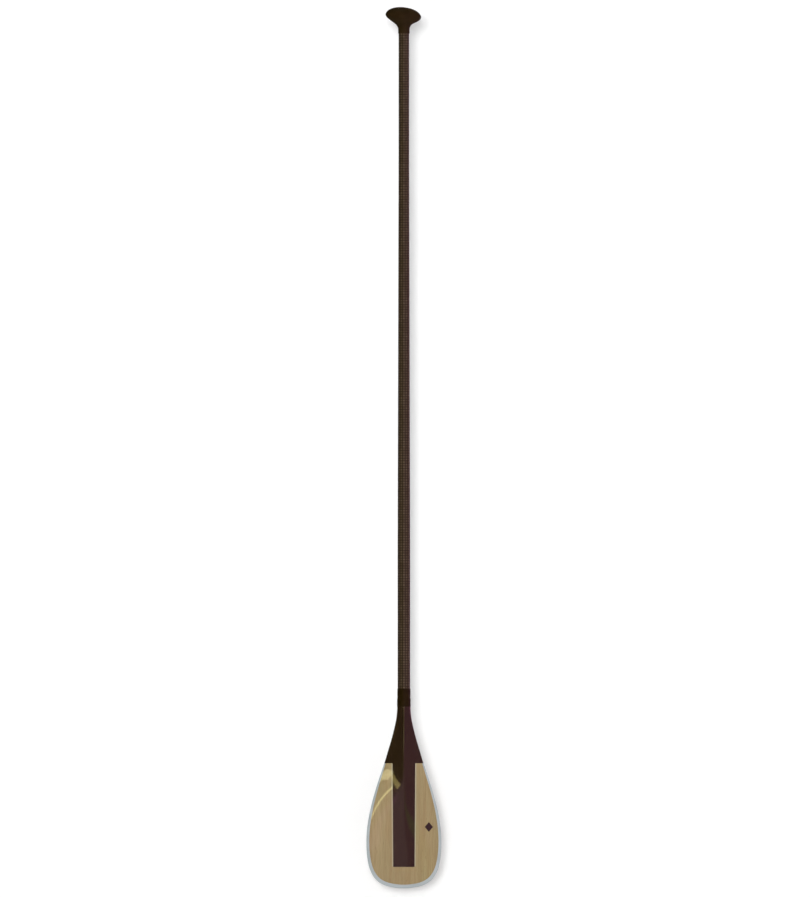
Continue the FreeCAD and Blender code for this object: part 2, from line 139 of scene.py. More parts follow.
# Shaft, in millimetres; levels are counted up from the origin.
SHAFT_RADIUS = 15.0
SHAFT_TOP_RADIUS = 12.65
TAPER = (360.0, 1300.0)
SHAFT_TOP = 1586.0
SHAFT_PLY = 0.4
TOW_COUNT = 14  # tows of the weave round the shaft
TOW_WIDTH = 6.2

# The shaft's outside is laid out flat for its texture in strips side by side, with its inside in a narrow
# band above them. These are shares of the square, but the gap beside a strip is a share of its width.
UNROLLED_STRIPS = 4
STRIP_SIDE_GAP = 0.02
UNROLLED_END_GAP = 0.01
UNROLLED_REACH = 0.94
BAND_START = 0.965
BAND_WIDTH = 0.025

# Sleeve, in millimetres.
SLEEVE_END = -43.0
SLEEVE_LIMIT = 16.42
SLEEVE_WAVE = 0.025
THINNEST_SLEEVE = 0.1
LIP_HEIGHT = 1.0  # the sleeve's rows are closer together this near its ends
LIP_STEP = 0.2  # height left free between a lip's rows and the rest
LOWER_LIP_ROWS, UPPER_LIP_ROWS = 6, 8

# Times round, millimetres along for each radian, share of the full wave.
SLEEVE_WAVES = [(3, 5.1, 1.0), (5, -3.3, 0.7), (2, 2.1, 0.6)]

# Level, inside radius of the sleeve.
SLEEVE_BORE = [(SLEEVE_END, 15.9), (-27.5, 15.55), (-26.5, 15.05), (0.0, 15.05)]

# Level, outside radius of the sleeve.
SLEEVE_PROFILE = [
    (-43.0, 16.0),
    (-42.6, 16.25),
    (-36.0, 16.3),
    (-29.0, 16.35),
    (-26.0, 16.2),
    (-23.5, 15.88),
    (-12.0, 15.82),
    (-1.0, 15.84),
    (-0.3, 15.7),
    (0.0, 15.45),
]

# Grip, in millimetres. The head leans over to the right; its profile gives the half width and the level from
# the head's widest line, from the shaft's end round to the crown.
GRIP_LEVEL = 1628.2
GRIP_SHIFT = 1.25
GRIP_CANT = math.tan(math.radians(4.6))
GRIP_NECK = 13.8
GRIP_HALF_WIDTH = 43.0
GRIP_HALF_DEPTH = 18.9
GRIP_CROWN = 21.6
GRIP_WALL = 2.8
GRIP_BLEND = (-27.0, -9.0)  # levels between which the neck gives way to the leaning head
GRIP_UNDERSIDE = [
    (13.8, -42.2),
    (13.8, -36.0),
    (14.1, -30.0),
    (15.8, -25.2),
    (19.4, -20.6),
    (25.0, -16.6),
    (31.2, -12.9),
    (36.6, -9.2),
    (40.7, -5.4),
]
GRIP_CROWN_ANGLES = [0.0, 20.0, 40.0, 58.0, 74.0, 90.0]


# Shapes.


def spline(stations, at):
    """Smooth curve through rows of (position, value, ...), as one array of values for each column."""
    table = np.array(sorted(stations), float)
    knots, values = table[:, 0], table[:, 1:]
    step = np.diff(knots)
    slope = np.diff(values, axis=0) / step[:, None]
    count = len(knots)
    matrix = np.eye(count)
    curvature = np.zeros_like(values)
    for row in range(1, count - 1):
        matrix[row, row - 1 : row + 2] = step[row - 1], 2 * (step[row - 1] + step[row]), step[row]
        curvature[row] = 6 * (slope[row] - slope[row - 1])
    curvature = np.linalg.solve(matrix, curvature)
    at = np.asarray(at, float)
    index = np.clip(np.searchsorted(knots, at) - 1, 0, count - 2)
    width = step[index][..., None]
    after = (at - knots[index])[..., None]
    before = width - after
    bent = (curvature[index] * before**3 + curvature[index + 1] * after**3) / (6 * width)
    lower = (values[index] / width - curvature[index] * width / 6) * before
    upper = (values[index + 1] / width - curvature[index + 1] * width / 6) * after
    return np.moveaxis(bent + lower + upper, -1, 0)


def blade_z(height):
    """Z, in metres, of a height above the blade's tip."""
    return (height - BLADE_LENGTH) * MM


def smooth_step(value, low, high):
    """0 below low, 1 above high, with a smooth rise between them."""
    share = np.clip((value - low) / (high - low), 0.0, 1.0)
    return share * share * (3 - 2 * share)


def edge_run(count):
    """Points along the blade's edge from the left shoulder round the tip to the right one.

    Returns across, height, rail width and the direction into the blade, as (count,) and (count, 2) arrays.
    """
    right = np.array(OUTLINE)
    left = right[:0:-1] * (1, -1, 1)
    stations = np.vstack([left, right])
    chord = np.concatenate([[0], np.cumsum(np.hypot(*np.diff(stations[:, :2], axis=0).T))])
    start, end = chord[1], chord[-2]
    along = np.linspace(start, end, count)
    height, across, rail = spline(np.column_stack([chord, stations]).tolist(), along)
    tangent = np.stack([np.gradient(across, along), np.gradient(height, along)], axis=-1)
    tangent /= np.linalg.norm(tangent, axis=-1, keepdims=True)
    inward = np.stack([-tangent[:, 1], tangent[:, 0]], axis=-1)
    level = np.stack([-np.sign(across), np.zeros(count)], axis=-1)
    square = smooth_step(height, SEAM_START, SHOULDER)[:, None]
    turned = inward * (1 - square) + level * square
    turned /= np.linalg.norm(turned, axis=-1, keepdims=True)
    rail = rail / np.sum(turned * inward, axis=-1)
    return across, height, rail, turned


EDGE_ACROSS, EDGE_HEIGHT, EDGE_RAIL, EDGE_INWARD = edge_run(EDGE_POINTS)


def half_width(height):
    """Half the blade's width at a height above the tip."""
    right = EDGE_ACROSS >= 0
    trimmed = np.interp(height, EDGE_HEIGHT[right], EDGE_ACROSS[right])
    upper_stations = [station[:2] for station in OUTLINE[-4:]]
    above = spline(upper_stations, height)[0]
    trimmed = np.where(height > SHOULDER, above, trimmed)
    own = spline(SECTIONS, height)[0]
    share = smooth_step(height, *NECK_BLEND)
    return trimmed * (1 - share) + own * share


def lean(height):
    """How far the blade's middle surface has moved back at a height above the tip."""
    below = np.maximum(BEND_START - height, 0.0)
    bending = BEND_SLOPE * below**2 / (2 * BEND_LENGTH)
    straight = BEND_SLOPE * (below - BEND_LENGTH / 2)
    return np.where(below < BEND_LENGTH, bending, straight)


def face_depth(across, height, side):
    """Distance of the front (side -1) or back (side 1) face from the blade's middle surface."""
    half, front, back, ridge = spline(SECTIONS, height)
    half = np.maximum(half, half_width(height))
    run = np.clip(np.abs(across) / half, 0.0, 1.0)
    arch = np.sqrt(1 - run**2)
    if side > 0:
        return back * arch
    crest = spline(CREST, height)[0]
    roof = 1 - (np.sqrt(run**2 + crest**2) - crest) / (np.sqrt(1 + crest**2) - crest)
    ridge = np.clip(ridge, 0.0, 1.0)
    return front * ((1 - ridge) * arch + ridge * roof)


def edge_round(across, height):
    """Length over which the blade's edge is rounded, from its thickness there."""
    thickness = face_depth(across, height, -1) + face_depth(across, height, 1)
    return np.maximum(thickness / 2, THINNEST_EDGE)


def place(across, height, depth, side):
    """Points of a face, from their distance to the blade's middle surface."""
    across, height = np.broadcast_arrays(across, height)
    return np.stack([across, lean(height) + side * depth, height - BLADE_LENGTH], axis=-1)


def shell(points, used, thickness):
    """A closed solid: the used cells of a grid, backed by the same cells moved along their normals."""
    along = np.gradient(points, axis=0)
    over = np.gradient(points, axis=1)
    normal = np.cross(along, over)
    length = np.linalg.norm(normal, axis=-1, keepdims=True)
    normal = normal / np.maximum(length, TINY)
    inner = points + normal * thickness
    rows, columns = points.shape[:2]
    count = rows * columns
    faces = []
    border = set()
    for row, column in zip(*np.nonzero(used)):
        corner = int(row * columns + column)
        ring = [corner, corner + columns, corner + columns + 1, corner + 1]
        faces.append(ring)
        faces.append([index + count for index in reversed(ring)])
        for start, end in zip(ring, ring[1:] + ring[:1]):
            if (end, start) in border:
                border.remove((end, start))
            else:
                border.add((start, end))
    for start, end in sorted(border):
        faces.append([end, start, start + count, end + count])
    return np.vstack([points.reshape(-1, 3), inner.reshape(-1, 3)]), faces


def turned_shell(levels, outside, inside, columns):
    """A tube turned about the shaft's axis, from arrays of outside and inside radii (levels x columns)."""
    angle = np.linspace(0, 2 * np.pi, columns, endpoint=False)
    rows = len(levels)
    vertices = []
    for radius in (outside, inside):
        radius = np.broadcast_to(radius, (rows, columns))
        ring = np.stack([radius * np.cos(angle), radius * np.sin(angle)], axis=-1)
        height = np.broadcast_to(levels[:, None], (rows, columns))[..., None]
        vertices.append(np.concatenate([ring, height], axis=-1).reshape(-1, 3))
    count = rows * columns
    faces = []
    for column in range(columns):
        following = (column + 1) % columns
        for row in range(rows - 1):
            low, high = row * columns, (row + 1) * columns
            faces.append([low + column, low + following, high + following, high + column])
            inner = [high + column, high + following, low + following, low + column]
            faces.append([count + corner for corner in inner])
        top = (rows - 1) * columns
        faces.append([following, column, count + column, count + following])
        faces.append([top + column, top + following, count + top + following, count + top + column])
    return np.vstack(vertices), faces


def add_piece(name, shape, material, replaced):
    """Make an object of a piece's vertices and faces, in metres, with its look and its place in the frame."""
    vertices, faces = shape
    mesh = bpy.data.meshes.new(name)
    mesh.from_pydata((np.asarray(vertices) * MM).tolist(), [], faces)
    work = bmesh.new()
    work.from_mesh(mesh)
    bmesh.ops.delete(work, geom=[vertex for vertex in work.verts if not vertex.link_faces], context="VERTS")
    bmesh.ops.remove_doubles(work, verts=work.verts, dist=WELD)
    bmesh.ops.recalc_face_normals(work, faces=work.faces)
    for face in work.faces:
        face.smooth = True
    for edge in work.edges:
        edge.smooth = edge.calc_face_angle(0.0) < math.radians(SHARP_ANGLE)
    work.to_mesh(mesh)
    work.free()
    mesh.materials.append(material)
    piece = bpy.data.objects.new(name, mesh)
    bpy.context.scene.collection.objects.link(piece)
    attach(piece, "root")
    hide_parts(*replaced)
    return piece


def spread(count, power):
    """Positions from -1 to 1, closer together in the middle for a power above 1."""
    even = np.linspace(-1, 1, count)
    return np.sign(even) * np.abs(even) ** power


def strip_half(height):
    """Half width of the carbon strip."""
    return np.interp(height, [STRIP_END, SHOULDER], [STRIP_HALF_END, STRIP_HALF_TOP])


def carbon_skin(side):
    """The carbon overlay of one face: the whole neck, and the strip that runs down the blade from it."""
    neck = np.linspace(JOINT_HEIGHT, SHOULDER, NECK_ROWS)
    strip = np.linspace(SHOULDER, STRIP_END, STRIP_ROWS)[1:]
    height = np.concatenate([neck, strip])[:, None]
    half = half_width(height)
    share = STRIP_HALF_TOP / half_width(np.array(SHOULDER))
    inner_half = np.where(height > SHOULDER, half * share, strip_half(height))
    limit = np.arccos(np.clip(inner_half / half, 0.0, 1.0))
    arm = half * np.cos(limit * np.linspace(0, 1, ARM_COLUMNS, endpoint=False)[None, :])
    middle = inner_half * spread(STRIP_COLUMNS, STRIP_CROWDING)[None, :]
    across = np.concatenate([-arm, middle, arm[:, ::-1]], axis=1)
    depth = face_depth(across, height, side)
    rounding = edge_round(half, height)
    gap = np.clip((half - np.abs(across)) / rounding, 0.0, 1.0)
    rounded = depth * np.sqrt(1 - (1 - gap) ** 2)
    depth = np.where(height >= SHOULDER, rounded, depth)
    used = np.ones((len(height) - 1, across.shape[1] - 1), bool)
    used[NECK_ROWS - 1 :, :ARM_COLUMNS] = False
    used[NECK_ROWS - 1 :, -ARM_COLUMNS:] = False
    return shell(place(across, height, depth, side), used, side * FACE_PLY)


def veneer_skin(side):
    """The veneer of one face: both sides of the strip and the stretch below it, inside the rail."""
    right = EDGE_ACROSS > TIP_GAP
    inner_across = EDGE_ACROSS[right] + EDGE_INWARD[right, 0] * EDGE_RAIL[right]
    inner_height = EDGE_HEIGHT[right] + EDGE_INWARD[right, 1] * EDGE_RAIL[right]
    clear = np.abs(inner_height - STRIP_END) > ROW_GAP
    height = np.sort(np.append(inner_height[clear], STRIP_END))[::-1]
    half = np.interp(height, inner_height, inner_across)[:, None]
    height = height[:, None]
    end_share = STRIP_HALF_END / np.interp(STRIP_END, inner_height, inner_across)
    inner_half = np.where(height < STRIP_END, half * end_share, strip_half(height))
    arm = inner_half + (half - inner_half) * np.linspace(1, 0, VENEER_COLUMNS, endpoint=False)[None, :]
    middle = inner_half * np.linspace(-1, 1, VENEER_MIDDLE_COLUMNS)[None, :]
    across = np.concatenate([-arm, middle, arm[:, ::-1]], axis=1)
    used = np.ones((len(height) - 1, across.shape[1] - 1), bool)
    beside_strip = (height[:-1, 0] > STRIP_END)[:, None]
    used[:, VENEER_COLUMNS:-VENEER_COLUMNS] = ~beside_strip
    return shell(place(across, height, face_depth(across, height, side), side), used, side * FACE_PLY)


def rail_solid():
    """The plastic edge: a rounded section swept round the blade from shoulder to shoulder."""
    rounding = edge_round(EDGE_ACROSS, EDGE_HEIGHT)
    flat = np.linspace(1, 0, RAIL_FLAT_COLUMNS, endpoint=False)
    angles = np.radians(np.linspace(0, 90, RAIL_ROUND_COLUMNS))
    ring = []
    for side in (-1, 1):
        half_ring = []
        for share in flat:
            half_ring.append((rounding + (EDGE_RAIL - rounding) * share, 1.0))
        for angle in angles:
            half_ring.append((rounding * (1 - math.sin(angle)), math.cos(angle)))
        if side > 0:
            half_ring = half_ring[-2::-1]
        for distance, share in half_ring:
            across = EDGE_ACROSS + EDGE_INWARD[:, 0] * distance
            height = EDGE_HEIGHT + EDGE_INWARD[:, 1] * distance
            depth = face_depth(across, height, side) * share
            ring.append(place(across, height, depth, side))
    points = np.stack(ring, axis=1)
    rows, columns = points.shape[:2]
    faces = []
    for row in range(rows - 1):
        for column in range(columns):
            following = (column + 1) % columns
            low, high = row * columns, (row + 1) * columns
            faces.append([low + column, low + following, high + following, high + column])
    faces.append(list(range(columns)))
    faces.append([(rows - 1) * columns + column for column in reversed(range(columns))])
    return points.reshape(-1, 3), faces


def mark_film():
    """The printed diamond, a thin film on the power face."""
    grid = np.linspace(-1, 1, MARK_POINTS)
    first, second = np.meshgrid(grid, grid, indexing="ij")
    across = MARK_ACROSS + (first + second) / 2 * MARK_HALF_WIDTH
    height = MARK_LEVEL + (first - second) / 2 * MARK_HALF_HEIGHT
    depth = face_depth(across, height, -1) + MARK_FILM
    used = np.ones((len(grid) - 1, len(grid) - 1), bool)
    return shell(place(across, height, depth, -1), used, MARK_FILM)


def shaft_shape():
    """The shaft's woven outer ply."""
    even = np.linspace(0, SHAFT_TOP, SHAFT_STRIP_ROWS * UNROLLED_STRIPS + 1)
    levels = np.unique(np.append(even, TAPER))
    outside = np.interp(levels, TAPER, [SHAFT_RADIUS, SHAFT_TOP_RADIUS])[:, None]
    return turned_shell(levels, outside, outside - SHAFT_PLY, SHAFT_COLUMNS)


def unroll_shaft(mesh):
    """Lay the shaft's surface out flat: the outside in strips side by side, the inside in a narrow band."""
    layout = mesh.uv_layers.new(name="OFBake")
    length = SHAFT_TOP * MM / UNROLLED_STRIPS
    for polygon in mesh.polygons:
        centre = polygon.center
        middle = math.atan2(centre.y, centre.x)
        strip = min(int(centre.z / length), UNROLLED_STRIPS - 1)
        flat_centre = centre.to_2d()
        outside = polygon.normal.to_2d().dot(flat_centre) > 0.5 * flat_centre.length
        for corner, vertex in zip(polygon.loop_indices, polygon.vertices):
            point = mesh.vertices[vertex].co
            turn = math.remainder(math.atan2(point.y, point.x) - middle, 2 * math.pi)
            around = (middle + turn) / (2 * math.pi) + 0.5
            lengths_up = point.z / length
            if outside:
                within = STRIP_SIDE_GAP + (1 - 2 * STRIP_SIDE_GAP) * around
                across = (strip + within) / UNROLLED_STRIPS
                along = UNROLLED_END_GAP + UNROLLED_REACH * (lengths_up - strip)
            else:
                across = UNROLLED_END_GAP + (1 - 2 * UNROLLED_END_GAP) * lengths_up / UNROLLED_STRIPS
                along = BAND_START + BAND_WIDTH * around
            layout.uv[corner].vector = (across, along)


def sleeve_shape():
    """The shrunk sleeve, a little uneven where it was drawn in over the joint."""
    lower_lip = np.linspace(SLEEVE_END, SLEEVE_END + LIP_HEIGHT - LIP_STEP, LOWER_LIP_ROWS)
    body = np.linspace(SLEEVE_END + LIP_HEIGHT, -LIP_HEIGHT - LIP_STEP, SLEEVE_ROWS)
    upper_lip = np.linspace(-LIP_HEIGHT, 0.0, UPPER_LIP_ROWS)
    levels = np.concatenate([lower_lip, body, upper_lip])
    angle = np.linspace(0, 2 * np.pi, SLEEVE_COLUMNS, endpoint=False)[None, :]
    waves = 0
    for times, pitch, share in SLEEVE_WAVES:
        waves = waves + share * np.sin(times * angle + levels[:, None] / pitch)
    outside = spline(SLEEVE_PROFILE, levels)[0][:, None] + SLEEVE_WAVE * waves
    outside = np.minimum(outside, SLEEVE_LIMIT)
    inside = np.interp(levels, *zip(*SLEEVE_BORE))[:, None]
    return turned_shell(levels, outside, np.minimum(inside, outside - THINNEST_SLEEVE), SLEEVE_COLUMNS)


def grip_half(side):
    """Half of the moulded grip: a lens-shaped head on a round neck, as a shell."""
    crown = []
    for angle in np.radians(GRIP_CROWN_ANGLES):
        crown.append((GRIP_HALF_WIDTH * math.cos(angle), GRIP_CROWN * math.sin(angle)))
    profile = np.array(GRIP_UNDERSIDE + crown)
    chord = np.concatenate([[0], np.cumsum(np.hypot(*np.diff(profile, axis=0).T))])
    along = np.linspace(0, chord[-1], GRIP_ROWS)
    width, level = spline(np.column_stack([chord, profile]).tolist(), along)
    width[-1] = 0.0
    width = np.maximum(width, 0.0)
    under = GRIP_NECK + (width - GRIP_NECK) * (GRIP_HALF_DEPTH - GRIP_NECK) / (GRIP_HALF_WIDTH - GRIP_NECK)
    over = GRIP_HALF_DEPTH * width / GRIP_HALF_WIDTH
    deep = np.where(level < 0, under, over)[:, None]
    width, level = width[:, None], level[:, None]
    head = smooth_step(level, *GRIP_BLEND)
    angle = np.linspace(0, np.pi, GRIP_COLUMNS)[None, :]
    x = width * np.cos(angle)
    y = side * deep * np.sin(angle)
    z = GRIP_LEVEL + level - x * GRIP_CANT * head
    points = np.stack(np.broadcast_arrays(x - GRIP_SHIFT * head, y, z), axis=-1)
    used = np.ones((points.shape[0] - 1, points.shape[1] - 1), bool)
    return shell(points, used, side * GRIP_WALL)


# Shader nodes. They are added one at a time, and each helper returns the socket that carries its result.


class Nodes:
    """A shader node tree."""

    def __init__(self, tree):
        self.tree = tree

    def node(self, kind, inputs, **properties):
        """Add a node; an input is a constant or another node's socket."""
        made = self.tree.nodes.new(kind)
        for name, value in properties.items():
            setattr(made, name, value)
        for socket, value in inputs.items():
            if isinstance(value, bpy.types.NodeSocket):
                self.tree.links.new(value, made.inputs[socket])
            else:
                made.inputs[socket].default_value = value
        return made

    def math(self, operation, *values):
        """The result of a sum on one value or two."""
        inputs = dict(enumerate(values))
        return self.node("ShaderNodeMath", inputs, operation=operation).outputs[0]

    def parts(self, vector):
        """A vector's X, Y and Z."""
        split = self.node("ShaderNodeSeparateXYZ", {"Vector": vector})
        return split.outputs["X"], split.outputs["Y"], split.outputs["Z"]

    def rise(self, value, low, high, start=0.0, end=1.0):
        """A smooth rise from start to end while the value goes from low to high."""
        inputs = {"Value": value, "From Min": low, "From Max": high, "To Min": start, "To Max": end}
        return self.node("ShaderNodeMapRange", inputs, interpolation_type="SMOOTHSTEP").outputs["Result"]

    def mix(self, share, first, second):
        """The first colour where the share is 0, the second where it is 1."""
        made = self.node("ShaderNodeMix", {"Factor": share}, data_type="RGBA")
        for name, value in (("A", first), ("B", second)):
            target = next(socket for socket in made.inputs if socket.name == name and socket.type == "RGBA")
            if isinstance(value, bpy.types.NodeSocket):
                self.tree.links.new(value, target)
            else:
                target.default_value = (*value, 1.0)
        return next(socket for socket in made.outputs if socket.type == "RGBA")

    def choose(self, share, first, second):
        """The first shader where the share is 0, the second where it is 1."""
        return self.node("ShaderNodeMixShader", {0: share, 1: first, 2: second}).outputs[0]


class Look(Nodes):
    """A node material around one Principled shader."""

    def __init__(self, name, **settings):
        self.material = bpy.data.materials.new(name)
        self.material.use_nodes = True
        super().__init__(self.material.node_tree)
        self.shader = self.tree.nodes["Principled BSDF"]
        for socket, value in settings.items():
            self.shader.inputs[socket.replace("_", " ")].default_value = value
        coordinates = self.node("ShaderNodeTexCoord", {}).outputs
        self.position = coordinates["Object"]
        self.normal = coordinates["Normal"]

    def stretched(self, x, y, z):
        """The position scaled apart along the axes, for grain."""
        scaled = self.node("ShaderNodeVectorMath", {0: self.position, 1: (x, y, z)}, operation="MULTIPLY")
        return scaled.outputs[0]

    def noise(self, at, scale, detail=3.0, roughness=0.5):
        """Cloudy noise, mostly between 0.3 and 0.7."""
        inputs = {"Vector": at, "Scale": scale, "Detail": detail, "Roughness": roughness}
        return self.node("ShaderNodeTexNoise", inputs).outputs["Fac"]

    def bump(self, height, distance, strength):
        """A surface normal that follows a height."""
        inputs = {"Height": height, "Distance": distance, "Strength": strength}
        return self.node("ShaderNodeBump", inputs).outputs["Normal"]

    def finish(self, colour, roughness, normal):
        """Join the results to the shader; returns the material."""
        for socket, value in (("Base Color", colour), ("Roughness", roughness), ("Normal", normal)):
            self.tree.links.new(value, self.shader.inputs[socket])
        return self.material


def grip_look():
    """Satin moulded plastic with a fine grain and a slight polish from handling."""
    look = Look("grip_plastic", Specular_IOR_Level=0.15)
    cloud = look.noise(look.position, 45.0, 4.0)
    grain = look.noise(look.position, 2600.0, 2.0)
    colour = look.mix(look.rise(cloud, 0.35, 0.7), (0.0158, 0.0079, 0.0008), (0.0226, 0.0120, 0.0027))
    roughness = look.rise(look.noise(look.position, 120.0, 3.0), 0.3, 0.7, 0.42, 0.56)
    return look.finish(colour, roughness, look.bump(grain, 0.00006, 0.5))


def weave_look():
    """Woven tows wrapped round the shaft, under a clear coat."""
    look = Look("woven_carbon", Coat_Weight=0.25, Coat_Roughness=0.12, Specular_IOR_Level=0.2)
    x, y, z = look.parts(look.position)
    turn = look.math("ARCTAN2", y, x)
    around = look.math("MULTIPLY", turn, TOW_COUNT / (2 * math.pi))
    along = look.math("DIVIDE", z, TOW_WIDTH * MM)
    cell = look.math("ADD", look.math("FLOOR", around), look.math("FLOOR", along))
    parity = look.math("PINGPONG", cell, 1.0)
    round_warp = look.math("ABSOLUTE", look.math("SINE", look.math("MULTIPLY", around, math.pi)))
    round_weft = look.math("ABSOLUTE", look.math("SINE", look.math("MULTIPLY", along, math.pi)))
    pillow = look.math("MULTIPLY", round_warp, round_weft)
    # This share darkens each tow from its crown to its edges. Part of that is the real dark gaps between
    # tows, and part is painted shade that stands in for the rounding of the tows.
    gap_and_tow_shade = look.rise(pillow, 0.05, 0.85)
    fibre = look.noise(look.stretched(1400.0, 1400.0, 60.0), 1.0, 2.0)
    patch = look.noise(look.stretched(110.0, 110.0, 70.0), 1.0, 2.0)
    crown = look.mix(fibre, (0.047, 0.033, 0.018), (0.070, 0.048, 0.027))
    crown = look.mix(look.rise(patch, 0.35, 0.65), crown, (0.086, 0.060, 0.037))
    tows = look.mix(gap_and_tow_shade, (0.016, 0.0092, 0.004), crown)
    # Every other cell of tows is painted lighter. This is a painted sheen that stands in for the gloss, which
    # differs with the direction of the fibres.
    tows = look.mix(look.rise(parity, 0.0, 1.0, 0.0, 0.22), tows, (0.026, 0.016, 0.008))
    roughness = look.rise(parity, 0.0, 1.0, 0.42, 0.30)
    return look.finish(tows, roughness, look.bump(pillow, 0.00015, 0.6))


def clear_carbon_look():
    """Unidirectional carbon under a thick gloss coat."""
    look = Look("clear_carbon", Coat_Weight=0.9, Coat_Roughness=0.03, Specular_IOR_Level=0.1)
    fibre = look.noise(look.stretched(1500.0, 300.0, 14.0), 1.0, 3.0, 0.6)
    streak = look.noise(look.stretched(160.0, 60.0, 5.0), 1.0, 3.0)
    colour = look.mix(look.rise(fibre, 0.3, 0.7), (0.0155, 0.0086, 0.0036), (0.0215, 0.0120, 0.0056))
    colour = look.mix(look.rise(streak, 0.4, 0.75, 0.0, 0.5), colour, (0.024, 0.0155, 0.0060))
    x, _, z = look.parts(look.position)
    _, facing, _ = look.parts(look.normal)
    # A lighter olive line is painted down the crest of the neck's front face. It is a painted highlight that
    # stands in for the reflection on the rounded ridge, and it fades out towards the blade's shoulder.
    near, far = RIDGE_HIGHLIGHT_SPREAD
    crest = look.rise(look.math("ABSOLUTE", x), near * MM, far * MM, 0.9, 0.0)
    crest = look.math("MULTIPLY", crest, look.rise(z, blade_z(RIDGE_HIGHLIGHT_END), blade_z(RIDGE_HIGHLIGHT_FADE)))
    crest = look.math("MULTIPLY", crest, look.rise(facing, -0.5, -0.2, 1.0, 0.0))
    colour = look.mix(crest, colour, (0.040, 0.033, 0.013))
    roughness = look.rise(fibre, 0.3, 0.7, 0.12, 0.20)
    swell = look.noise(look.stretched(20.0, 8.0, 7.0), 1.0, 2.0)
    return look.finish(colour, roughness, look.bump(swell, 0.0004, 0.2))


def veneer_look():
    """Vertical-grained bamboo veneer under a clear gloss coat."""
    look = Look("bamboo_veneer", Coat_Weight=0.9, Coat_Roughness=0.03, Specular_IOR_Level=0.1)
    x, _, z = look.parts(look.position)
    # The grain wanders a little from side to side.
    sway = look.math("MULTIPLY", look.noise(look.stretched(10.0, 1.0, 12.0), 1.0, 2.0), 0.014)
    aside = look.node("ShaderNodeCombineXYZ", {"X": sway}).outputs[0]
    swayed = look.node("ShaderNodeVectorMath", {0: look.position, 1: aside}, operation="ADD")
    look.position = swayed.outputs[0]
    band = look.noise(look.stretched(75.0, 1.0, 4.0), 1.0, 3.0, 0.6)
    tint = look.noise(look.stretched(38.0, 1.0, 7.0), 1.0, 2.0)
    grain = look.noise(look.stretched(420.0, 1.0, 16.0), 1.0, 4.0, 0.65)
    fine = look.noise(look.stretched(1700.0, 1.0, 60.0), 1.0, 2.0)
    fleck = look.noise(look.stretched(260.0, 1.0, 55.0), 1.0, 2.0)
    colour = look.mix(look.rise(band, 0.38, 0.62), (0.322, 0.250, 0.125), (0.276, 0.194, 0.092))
    colour = look.mix(look.rise(tint, 0.4, 0.65, 0.0, 0.6), colour, (0.268, 0.212, 0.104))
    colour = look.mix(look.rise(grain, 0.4, 0.7, 0.0, 0.7), colour, (0.226, 0.168, 0.081))
    colour = look.mix(look.rise(fine, 0.3, 0.8, 0.0, 0.3), colour, (0.345, 0.274, 0.143))
    colour = look.mix(look.rise(fleck, 0.62, 0.74, 0.0, 0.55), colour, (0.180, 0.134, 0.062))
    strip_edge = look.rise(z, blade_z(STRIP_END), blade_z(SHOULDER), STRIP_HALF_END * MM, STRIP_HALF_TOP * MM)
    beside = look.math("SUBTRACT", look.math("ABSOLUTE", x), strip_edge)
    near, far = FRINGE
    fringe = look.math("MULTIPLY", look.rise(beside, near * MM, far * MM, 1.0, 0.0), 0.6)
    above_end = look.rise(z, blade_z(STRIP_END), blade_z(STRIP_END + FRINGE_END))
    colour = look.mix(look.math("MULTIPLY", fringe, above_end), colour, (0.38, 0.36, 0.27))
    roughness = look.rise(grain, 0.3, 0.7, 0.42, 0.5)
    return look.finish(colour, roughness, look.bump(grain, 0.00008, 0.3))


def rail_look():
    """Pale moulded edge, a little cloudy."""
    look = Look("edge_plastic", Coat_Weight=0.3, Coat_Roughness=0.12)
    cloud = look.noise(look.position, 28.0, 4.0)
    colour = look.mix(look.rise(cloud, 0.3, 0.7), (0.315, 0.355, 0.365), (0.375, 0.415, 0.425))
    grain = look.noise(look.position, 1500.0, 2.0)
    roughness = look.rise(look.noise(look.position, 200.0, 3.0), 0.3, 0.7, 0.34, 0.44)
    return look.finish(colour, roughness, look.bump(grain, 0.00004, 0.4))


def sleeve_look():
    """Shrunk film, satin, with faint drawn-in wrinkles."""
    look = Look("sleeve_film", Specular_IOR_Level=0.15)
    cloud = look.noise(look.position, 90.0, 3.0)
    colour = look.mix(look.rise(cloud, 0.3, 0.7), (0.0122, 0.0062, 0.0003), (0.0170, 0.0090, 0.0008))
    wrinkle = look.noise(look.stretched(260.0, 260.0, 70.0), 1.0, 3.0)
    roughness = look.rise(cloud, 0.3, 0.7, 0.34, 0.46)
    return look.finish(colour, roughness, look.bump(wrinkle, 0.0003, 0.4))


def plain_look(name, light, dark, scale, roughness):
    """A mottled finish."""
    look = Look(name, Specular_IOR_Level=0.3)
    cell = look.noise(look.position, scale, 3.0)
    colour = look.mix(look.rise(cell, 0.3, 0.7), dark, light)
    rough = look.rise(cell, 0.3, 0.7, roughness - 0.05, roughness + 0.05)
    return look.finish(colour, rough, look.bump(cell, 0.0002, 0.3))


